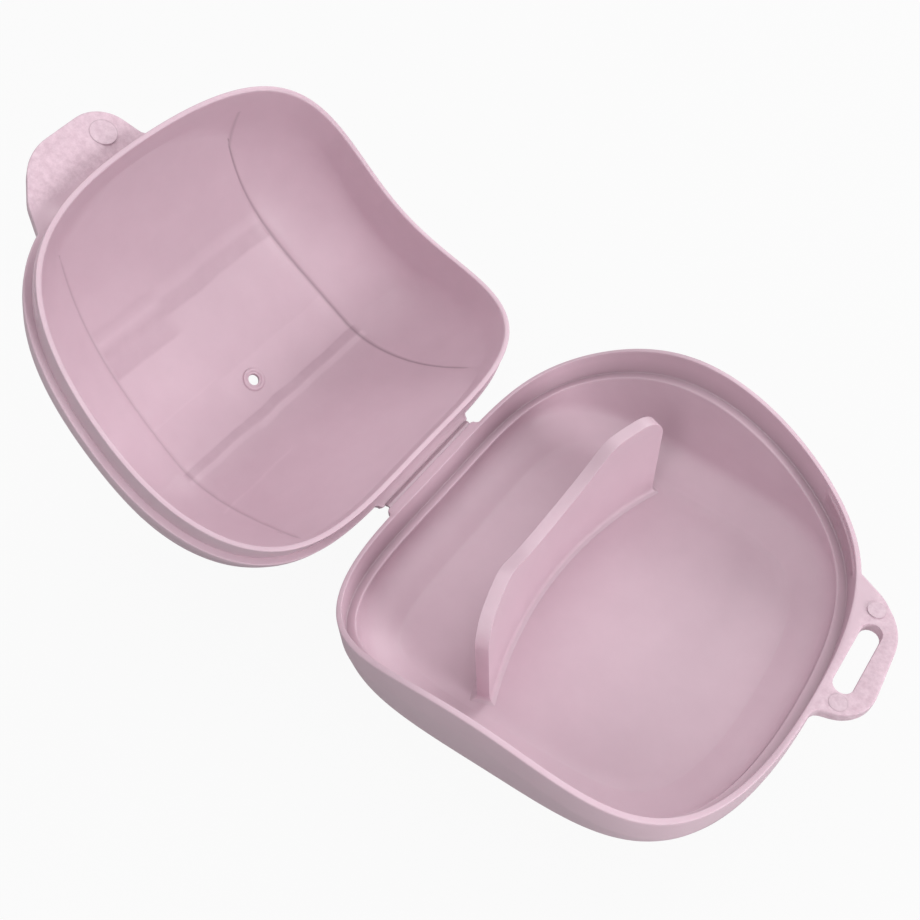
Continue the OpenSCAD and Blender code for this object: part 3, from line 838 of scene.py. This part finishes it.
def build_divider(plan):
    """A curved plate on the floor, with two wings, a saddle, round edges and a small fillet at its foot."""
    half = plan.divider_len / 2
    columns, fillet_rows, rows = 110, 7, 22
    fillet, fillet_end, sunk, edge_r = 0.9, 0.7, -0.05, 0.78
    bm = bmesh.new()
    bmesh.ops.create_grid(bm, x_segments=columns, y_segments=fillet_rows + rows, size=1)
    for v in bm.verts:
        y = half * math.sin(v.co.x * math.pi / 2)
        row = round((v.co.y + 1) / 2 * (fillet_rows + rows))
        if row <= fillet_rows:
            z = sunk + (fillet - sunk) * (row / fillet_rows) ** 1.5
        else:
            z = fillet + (divider_top(plan, y) - fillet) * (row - fillet_rows) / rows
        v.co = Vector((0, y, z))
    bmesh.ops.recalc_face_normals(bm, faces=bm.faces)
    bmesh.ops.solidify(bm, geom=list(bm.faces), thickness=plan.divider_t)
    bmesh.ops.translate(bm, vec=(-min(v.co.x for v in bm.verts), 0, 0), verts=bm.verts)
    bmesh.ops.recalc_face_normals(bm, faces=bm.faces)

    corners = [e for e in bm.edges if len(e.link_faces) == 2 and e.calc_face_angle(0) > 1.0]
    edges = [e for e in corners if max(v.co.z for v in e.verts) > fillet * 0.3]
    bmesh.ops.bevel(bm, geom=edges, offset=edge_r, offset_type="OFFSET", segments=6, profile=0.5,
                    affect="EDGES", material=-1, clamp_overlap=True)
    for v in bm.verts:
        below = max(0.0, fillet - max(v.co.z, 0.0))
        flare = fillet - math.sqrt(max(0.0, fillet ** 2 - below ** 2))
        v.co.x += math.copysign(flare, v.co.x - plan.divider_t / 2)
        if abs(v.co.y) > half - fillet_end:
            v.co.y += math.copysign(flare * 0.8, v.co.y)
    for v in bm.verts:
        r = plan.divider_r + plan.divider_t - v.co.x
        a = v.co.y / plan.divider_r
        v.co.x = plan.divider_r - r * math.cos(a)
        v.co.y = r * math.sin(a)
    bmesh.ops.translate(bm, vec=(plan.hinge_x + plan.divider_x, 0, plan.floor_t), verts=bm.verts)
    bmesh.ops.recalc_face_normals(bm, faces=bm.faces)
    return bm


def build_film(plan):
    """The thin film on the hinge line, from one leaf's edge to the other's."""
    columns, rows, reach, low = 60, 12, 0.5, 0.02
    bm = bmesh.new()
    bmesh.ops.create_grid(bm, x_segments=columns, y_segments=rows, size=1)
    turn = Matrix.Rotation(-plan.lid_open, 3, "Y")
    hinge = Vector((plan.hinge_x, 0, plan.base_depth))
    sink = plan.film_t / 2 + low
    for v in bm.verts:
        away, y = abs(v.co.y), v.co.x * plan.hinge_len / 2
        if v.co.y < 0:
            p = Vector((reach * away, 0, -sink * ease(away * 2)))
        else:
            p = turn @ Vector((reach * away, 0, (plan.parting_gap + sink) * ease(away * 2)))
        v.co = hinge + p + Vector((0, y, 0))
    bmesh.ops.recalc_face_normals(bm, faces=bm.faces)
    bmesh.ops.solidify(bm, geom=list(bm.faces), thickness=plan.film_t)
    middle = sum((v.co for v in bm.verts), Vector()) / len(bm.verts)
    bmesh.ops.translate(bm, vec=hinge + Vector((0, 0, -low)) - middle, verts=bm.verts)
    bmesh.ops.recalc_face_normals(bm, faces=bm.faces)
    return bm


def mark_disc(bm, x, y, radius, height, ink):
    """A round ejector mark on the plane of z 0: a low disc with a soft edge, its flat side up, and painted
    shade round that edge.
    """
    sunk, soft = 0.1, 0.13
    line = bm.verts.layers.float.get("line") or bm.verts.layers.float.new("line")
    made = bmesh.ops.create_circle(bm, cap_ends=True, cap_tris=False, segments=72, radius=radius)
    verts = made["verts"]
    bmesh.ops.translate(bm, vec=(x, y, -sunk), verts=verts)
    up = bmesh.ops.extrude_face_region(bm, geom=[verts[0].link_faces[0]])
    raised = [g for g in up["geom"] if isinstance(g, bmesh.types.BMVert)]
    bmesh.ops.translate(bm, vec=(0, 0, sunk + height), verts=raised)
    top = next(g for g in up["geom"] if isinstance(g, bmesh.types.BMFace))
    rim = list(top.verts)
    bmesh.ops.inset_individual(bm, faces=[top], thickness=soft)
    # Painted shade round the disc's edge, where the step would be shaded
    for v in rim:
        v[line] = ink


# Plastic

# Painted reflection bands, lighter and darker streaks, on the far and the near part of the ceiling: distances
# from the hinge line in millimetres, each with the tone there, which is deeper under 0.5 and paler over it
FAR_REFLECTIONS = (
    (0.0, 0.50), (16.0, 0.50), (18.2, 0.46), (19.8, 0.44), (20.1, 0.66), (20.9, 0.68), (21.2, 0.30),
    (22.5, 0.24), (22.8, 0.57), (29.8, 0.57), (30.1, 0.48), (36.0, 0.50), (42.3, 0.55), (42.6, 0.28),
    (44.6, 0.34), (45.3, 0.54), (46.2, 0.50), (46.8, 0.41), (48.2, 0.46), (51.4, 0.50), (51.6, 0.54),
    (60.0, 0.50),
)
NEAR_REFLECTIONS = (
    (0.0, 0.50), (14.2, 0.49), (14.5, 0.62), (14.8, 0.49), (20.1, 0.46), (20.5, 0.64), (21.1, 0.62),
    (21.4, 0.28), (22.5, 0.24), (22.8, 0.55), (30.3, 0.50), (30.5, 0.58), (30.8, 0.50), (39.2, 0.55),
    (39.5, 0.30), (42.2, 0.38), (43.3, 0.30), (44.2, 0.50), (44.7, 0.62), (45.2, 0.50), (46.3, 0.37),
    (47.0, 0.50), (54.9, 0.50), (55.1, 0.57), (55.3, 0.50), (60.0, 0.50),
)
REFLECTIONS_SPAN = 60.0
REFLECTIONS_WANDER = 0.55

# Places in millimetres between which one part's pattern gives way to the next one's
FAR_PART = (-6.5, -3.5)
CEILING = (19.3, 18.5)
CEILING_LEAN = 0.12
PLATES = (29.0, 30.5)


def node(tree, kind, place, inputs=None, source=None, **settings):
    """A shader node with its inputs' values, its settings, and a link into its first input."""
    made = tree.nodes.new(kind)
    made.location = place
    for name, value in settings.items():
        setattr(made, name, value)
    for name, value in (inputs or {}).items():
        made.inputs[name].default_value = value
    if source is not None:
        tree.links.new(source, made.inputs[0])
    return made


def noise(tree, place, where, scale, detail, roughness=0.5):
    inputs = {"Scale": scale, "Detail": detail, "Roughness": roughness}
    return node(tree, "ShaderNodeTexNoise", place, inputs, where).outputs["Fac"]


def scaled(tree, place, source, limits, **settings):
    """A value carried from one range to another. A limit that isn't given is 0 or 1."""
    inputs = dict(zip(("From Min", "From Max", "To Min", "To Max"), limits))
    return node(tree, "ShaderNodeMapRange", place, inputs, source, **settings).outputs["Result"]


def span(tree, place, source, start, end):
    """How far a coordinate has come from one place to another, both in millimetres, from 0 to 1."""
    return scaled(tree, place, source, (start * MM, end * MM), interpolation_type="SMOOTHSTEP")


def reckoned(tree, place, operation, first, second=None, third=None):
    """The result of a calculation with a socket and up to two more sockets or numbers."""
    made = node(tree, "ShaderNodeMath", place, None, first, operation=operation)
    for k, value in ((1, second), (2, third)):
        if isinstance(value, (int, float)):
            made.inputs[k].default_value = value
        elif value is not None:
            tree.links.new(value, made.inputs[k])
    return made.outputs["Value"]


def mixed(tree, place, share, first, second):
    """A colour between two others, each a socket or a tuple."""
    made = node(tree, "ShaderNodeMix", place, data_type="RGBA")
    tree.links.new(share, made.inputs["Factor"])
    for name, value in (("A", first), ("B", second)):
        if isinstance(value, tuple):
            made.inputs[name].default_value = (*value, 1)
        else:
            tree.links.new(value, made.inputs[name])
    return made.outputs["Result"]


def ramp(tree, place, source, marks):
    made = node(tree, "ShaderNodeValToRGB", place, None, source)
    stops = made.color_ramp.elements
    stops.remove(stops[0])
    for k, (x, tone) in enumerate(marks):
        stop = stops[0] if k == 0 else stops.new(x / REFLECTIONS_SPAN)
        stop.position = x / REFLECTIONS_SPAN
        stop.color = (tone, tone, tone, 1)
    return made.outputs["Color"]


def painted_reflection_bands(tree, where, facing, plan):
    """Painted reflection bands in the lid's ceiling, lighter and darker streaks across it: under 0.5 deeper,
    over 0.5 paler.
    """
    parts = node(tree, "ShaderNodeSeparateXYZ", (-1900, 900), None, where)
    x, y = parts.outputs["X"], parts.outputs["Y"]
    stretch = node(tree, "ShaderNodeMapping", (-1900, 1200), {"Scale": (0.6, 1.0, 0.6)}, where)
    wander = noise(tree, (-1700, 1200), stretch.outputs["Vector"], 130.0, 2.0)
    moved = reckoned(tree, (-1500, 1100), "MULTIPLY_ADD", wander, 2 * REFLECTIONS_WANDER * MM, x)
    start = plan.hinge_x + REFLECTIONS_WANDER
    along = scaled(tree, (-1300, 1100), moved, (start * MM, (start + REFLECTIONS_SPAN) * MM), clamp=False)
    far = ramp(tree, (-1100, 1200), along, FAR_REFLECTIONS)
    near = ramp(tree, (-1100, 950), along, NEAR_REFLECTIONS)
    marks = mixed(tree, (-800, 1000), span(tree, (-1100, 700), y, *FAR_PART), near, far)

    # The painted reflections stay on the inside of the ceiling, between its creases, and are broken into
    # patches
    down = (math.sin(plan.lid_open), 0.0, -math.cos(plan.lid_open))
    inside = node(tree, "ShaderNodeVectorMath", (-1500, 700), {1: down}, facing, operation="DOT_PRODUCT")
    fade = scaled(tree, (-1300, 700), inside.outputs["Value"], (0.35, 0.75), interpolation_type="SMOOTHSTEP")
    across = reckoned(tree, (-1700, 200), "ABSOLUTE", y)
    lean = reckoned(tree, (-1700, 50), "MULTIPLY_ADD", x, CEILING_LEAN, across)
    ceiling = reckoned(tree, (-1300, 200), "MULTIPLY", span(tree, (-1500, 100), lean, *CEILING), fade)
    reflection_patches = noise(tree, (-1500, 450), where, 260.0, 4.0, 0.6)
    patchy = scaled(tree, (-1300, 450), reflection_patches, (0.32, 0.58, 0.6))
    clear = reckoned(tree, (-1000, 500), "MULTIPLY", patchy, ceiling)
    return mixed(tree, (-600, 900), clear, (0.5, 0.5, 0.5), marks)


def plastic(name, base, deep, roughness, plan=None):
    """Satin moulded polypropylene: faint clouds, a fine skin, painted shade lines and mottling on the two
    plates.

    A plan is given for the open lid, whose painted reflection bands are worked out in its closed place."""
    material = bpy.data.materials.new(name)
    material.use_nodes = True
    tree = material.node_tree
    link = tree.links.new
    shader = tree.nodes["Principled BSDF"]
    coordinates = node(tree, "ShaderNodeTexCoord", (-2300, 0))
    closed = node(tree, "ShaderNodeMapping", (-2100, 0), None, coordinates.outputs["Object"])
    where = closed.outputs["Vector"]

    cloud = noise(tree, (-1000, 300), where, 190.0, 4.0, 0.62)
    depth = scaled(tree, (-800, 300), cloud, (0.2, 0.8, 0.44, 0.56))
    if plan:
        hinge = Vector((plan.hinge_x, 0, plan.base_depth)) * MM
        closed.inputs["Rotation"].default_value = (0, plan.lid_open, 0)
        closed.inputs["Location"].default_value = hinge - Matrix.Rotation(plan.lid_open, 3, "Y") @ hinge
        # Painted reflection bands on the lid's ceiling, added to the cloudy tone
        marks = painted_reflection_bands(tree, where, coordinates.outputs["Normal"], plan)
        total = reckoned(tree, (-450, 500), "ADD", depth, marks)
        depth = reckoned(tree, (-300, 500), "SUBTRACT", total, 0.5)
    parts = node(tree, "ShaderNodeSeparateXYZ", (-1100, -300), None, where)
    plate = span(tree, (-900, -300), parts.outputs["X"], *PLATES)
    speckle = noise(tree, (-900, -950), where, 1100.0, 4.0, 0.75)
    spots = scaled(tree, (-700, -950), speckle, (0.36, 0.64, -0.10, 0.28))
    mottled = reckoned(tree, (-500, -850), "MULTIPLY_ADD", spots, plate, depth)
    pale = tuple(2 * a - b for a, b in zip(base, deep))
    shade = mixed(tree, (-150, 350), mottled, tuple(deep), pale)
    # Painted shade: the colour is darkened towards a deep tone at the points marked in the "line" attribute
    line = node(tree, "ShaderNodeAttribute", (-300, 750), attribute_name="line")
    ink = tuple(0.52 * c for c in deep)
    link(mixed(tree, (50, 450), line.outputs["Fac"], shade, ink), shader.inputs["Base Color"])

    satin = scaled(tree, (-700, 0), cloud, (0.0, 1.0, roughness - 0.05, roughness + 0.07))
    matte = reckoned(tree, (-500, -50), "MULTIPLY_ADD", plate, 0.14, satin)
    link(matte, shader.inputs["Roughness"])

    grain = noise(tree, (-900, -550), where, 2600.0, 2.0)
    spark = noise(tree, (-900, -750), where, 1500.0, 3.0, 0.6)
    on_plates = reckoned(tree, (-650, -700), "MULTIPLY", spark, plate)
    height = reckoned(tree, (-480, -600), "MULTIPLY_ADD", grain, 0.22, on_plates)
    bump = node(tree, "ShaderNodeBump", (-250, -500), {"Strength": 0.35, "Distance": 0.04 * MM})
    link(height, bump.inputs["Height"])
    link(bump.outputs["Normal"], shader.inputs["Normal"])

    skin = {
        "IOR": 1.49,
        "Specular IOR Level": 0.45,
        "Subsurface Weight": 0.12,
        "Subsurface Radius": (1.0, 0.7, 0.8),
        "Subsurface Scale": 1.2 * MM,
    }
    for socket, value in skin.items():
        shader.inputs[socket].default_value = value
    return material


def dressed(piece, body, slot_name, material, *nodes):
    piece.data.materials.append(material)
    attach(piece, body)
    if nodes:
        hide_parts(*nodes)


class CASE_OT_finish(Operator):
    """Make the case's plastics"""

    bl_idname = "case.finish"
    bl_label = "Plastics"

    def execute(self, context):
        look = context.scene.case_finish
        for name, tint, plan in (
            ("base_polypropylene", look.plastic, None),
            ("lid_polypropylene", look.plastic, CasePlan()),
            ("hinge_polypropylene", look.hinge_plastic, None),
        ):
            plastic(name, tint, look.plastic_deep, look.roughness, plan)
        return {"FINISHED"}


class CASE_OT_base(Operator):
    """Grow the base, with its lip, snap beads, carry loop and hinge leaf"""

    bl_idname = "case.base"
    bl_label = "Base"

    def execute(self, context):
        piece = finished(build_base(CasePlan()), "case_base")
        dressed(piece, "base", "case_plastic", bpy.data.materials["base_polypropylene"],
                "base_shell", "base_snap_beads", "carry_loop", "base_hinge_leaf")
        return {"FINISHED"}


class CASE_OT_divider(Operator):
    """Raise the divider on the floor"""

    bl_idname = "case.divider"
    bl_label = "Divider"

    def execute(self, context):
        piece = finished(build_divider(CasePlan()), "case_divider")
        dressed(piece, "base", "case_plastic", bpy.data.materials["base_polypropylene"], "divider")
        return {"FINISHED"}


class CASE_OT_lid(Operator):
    """Grow the lid, with its tongue, snap beads, lift tab, hinge leaf and steam vent"""

    bl_idname = "case.lid"
    bl_label = "Lid"

    def execute(self, context):
        piece = finished(build_lid(CasePlan()), "case_lid")
        dressed(piece, "lid", "case_plastic", bpy.data.materials["lid_polypropylene"],
                "lid_shell", "lid_tongue", "lid_snap_beads", "lift_tab", "lid_hinge_leaf", "vent_boss")
        return {"FINISHED"}


class CASE_OT_film(Operator):
    """Stretch the living hinge's film between the two leaves"""

    bl_idname = "case.film"
    bl_label = "Hinge film"

    def execute(self, context):
        plan = CasePlan()
        piece = finished(build_film(plan), "case_hinge_film")
        # The film takes the darker copy of the plastic, painted shade in the gap between the leaves
        piece.data.materials.append(bpy.data.materials["hinge_polypropylene"])
        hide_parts("hinge_film")
        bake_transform(piece)
        return {"FINISHED"}


class CASE_OT_marks(Operator):
    """Set the round ejector marks on the carry loop and the lift tab"""

    bl_idname = "case.marks"
    bl_label = "Ejector marks"

    # Places and sizes in millimetres, and the strength of the painted shade round each mark's edge
    loop_marks = ((30.81, 14.59), (32.08, 0.1))
    loop_mark = {"radius": 1.15, "height": 0.04, "ink": 0.22}
    tab_mark = {"x": 33.36, "y": -1.96, "radius": 1.85, "height": 0.07, "ink": 0.5}
    sharp = 12

    def execute(self, context):
        plan = CasePlan()
        bm = bmesh.new()
        for x, y in self.loop_marks:
            mark_disc(bm, x, y, **self.loop_mark)
        bmesh.ops.translate(bm, vec=(0, 0, plan.base_depth), verts=bm.verts)
        piece = finished(bm, "loop_ejector_marks", self.sharp)
        dressed(piece, "base", "case_plastic", bpy.data.materials["base_polypropylene"])
        bm = bmesh.new()
        mark_disc(bm, **self.tab_mark)
        for v in bm.verts:
            v.co.z = plan.base_depth + plan.parting_gap - v.co.z
        bmesh.ops.reverse_faces(bm, faces=bm.faces)
        open_lid(bm, plan)
        piece = finished(bm, "tab_ejector_mark", self.sharp)
        dressed(piece, "lid", "case_plastic", bpy.data.materials["lid_polypropylene"])
        return {"FINISHED"}


# Studio


def white_to_camera(tree, kind, share, surface, output):
    """Shows a surface or the world as plain white to the camera, by a share, and leaves its light alone."""
    white = node(tree, kind, (0, -300), {"Color": (1, 1, 1, 1), "Strength": 1.0})
    path = node(tree, "ShaderNodeLightPath", (-400, 300))
    seen = reckoned(tree, (-150, 300), "MULTIPLY", path.outputs["Is Camera Ray"], share)
    mix = node(tree, "ShaderNodeMixShader", (300, 0), None, seen)
    tree.links.new(surface, mix.inputs[1])
    tree.links.new(white.outputs[0], mix.inputs[2])
    tree.links.new(mix.outputs["Shader"], tree.nodes[output].inputs["Surface"])


class CASE_OT_stage(Operator):
    """Lay the pale table, hang the lamps and set the camera"""

    bl_idname = "case.stage"
    bl_label = "Studio"

    # Places and sizes in metres, and the lamps' power in watts
    table_half = 2.0
    table_drop = 0.018
    table_glow = 0.93
    horizon = 0.04
    zenith = 1.14
    lamp_size = 0.36
    lamp_aim = Vector((-0.02, 0, 0.01))
    lamp_places = (
        ("key", Vector((0.73, 0.0, 0.26)), 3.5),
        ("side", Vector((0.05, 0.65, 0.45)), 2.0),
        ("front", Vector((0.0, -0.65, 0.45)), 0.8),
    )
    camera_place = (0.02999, -0.06596, 0.12687)
    camera_turn = (0.6744617, 0.0356969, 0.6466747)
    camera_lens = {"sensor_width": 36.0, "lens": 39.804, "shift_x": 0.003856, "shift_y": -0.020425,
                   "clip_start": 0.005}

    def execute(self, context):
        scene = context.scene
        scene.view_settings.view_transform = "Standard"
        self.table(scene)
        self.sky(scene)
        for name, place, power in self.lamp_places:
            self.lamp(scene, name, place, power)
        data = bpy.data.cameras.new("case_camera")
        for name, value in self.camera_lens.items():
            setattr(data, name, value)
        camera = bpy.data.objects.new("case_camera", data)
        camera.location = self.camera_place
        camera.rotation_euler = self.camera_turn
        scene.collection.objects.link(camera)
        scene.camera = camera
        return {"FINISHED"}

    def table(self, scene):
        bm = bmesh.new()
        bmesh.ops.create_grid(bm, x_segments=8, y_segments=8, size=self.table_half)
        bmesh.ops.translate(bm, vec=(0, 0, -self.table_drop), verts=bm.verts)
        mesh = bpy.data.meshes.new("table")
        bm.to_mesh(mesh)
        bm.free()
        table = bpy.data.objects.new("table", mesh)
        scene.collection.objects.link(table)
        material = bpy.data.materials.new("table_white")
        material.use_nodes = True
        tree = material.node_tree
        shader = tree.nodes["Principled BSDF"]
        shader.inputs["Base Color"].default_value = (*scene.case_finish.floor, 1)
        shader.inputs["Roughness"].default_value = 0.7
        surface = shader.outputs["BSDF"]
        white_to_camera(tree, "ShaderNodeEmission", self.table_glow, surface, "Material Output")
        table.data.materials.append(material)

    def sky(self, scene):
        """A soft sky, brightest overhead."""
        world = bpy.data.worlds.new("studio")
        scene.world = world
        world.use_nodes = True
        tree = world.node_tree
        light = tree.nodes["Background"]
        light.inputs["Color"].default_value = (1, 1, 1, 1)
        way = node(tree, "ShaderNodeTexCoord", (-800, 0))
        split = node(tree, "ShaderNodeSeparateXYZ", (-600, 0), None, way.outputs["Generated"])
        up = scaled(tree, (-400, 0), split.outputs["Z"], (0, 1, self.horizon, self.zenith))
        tree.links.new(up, light.inputs["Strength"])
        white_to_camera(tree, "ShaderNodeBackground", 1.0, light.outputs["Background"], "World Output")

    def lamp(self, scene, name, place, power):
        data = bpy.data.lights.new(name, "AREA")
        data.shape = "DISK"
        data.size = self.lamp_size
        data.energy = power
        lamp = bpy.data.objects.new(name, data)
        lamp.location = place
        lamp.rotation_euler = (self.lamp_aim - place).to_track_quat("-Z", "Y").to_euler()
        scene.collection.objects.link(lamp)


class CASE_PT_panel(Panel):
    """Lists the case's pieces in the sidebar"""

    bl_idname = "CASE_PT_panel"
    bl_label = "Pacifier case"
    bl_space_type = "VIEW_3D"
    bl_region_type = "UI"
    bl_category = "Case"

    def draw(self, context):
        for piece in PIECES:
            self.layout.operator(piece.bl_idname)
        for group in (context.scene.case_lengths, context.scene.case_form, context.scene.case_finish):
            for name in group.__annotations__:
                self.layout.prop(group, name)


PIECES = (
    CASE_OT_finish,
    CASE_OT_stage,
    CASE_OT_base,
    CASE_OT_divider,
    CASE_OT_lid,
    CASE_OT_film,
    CASE_OT_marks,
)
CLASSES = (CaseLengths, CaseForm, CaseFinish) + PIECES + (CASE_PT_panel,)


def register():
    for kind in CLASSES:
        bpy.utils.register_class(kind)
    bpy.types.Scene.case_lengths = PointerProperty(type=CaseLengths)
    bpy.types.Scene.case_form = PointerProperty(type=CaseForm)
    bpy.types.Scene.case_finish = PointerProperty(type=CaseFinish)


def unregister():
    del bpy.types.Scene.case_finish
    del bpy.types.Scene.case_form
    del bpy.types.Scene.case_lengths
    for kind in reversed(CLASSES):
        bpy.utils.unregister_class(kind)


def main():
    register()
    bpy.ops.case.finish()
    bpy.ops.case.stage()
    bpy.ops.case.base()
    bpy.ops.case.divider()
    bpy.ops.case.lid()
    bpy.ops.case.film()
    bpy.ops.case.marks()


if __name__ == "__main__":
    main()
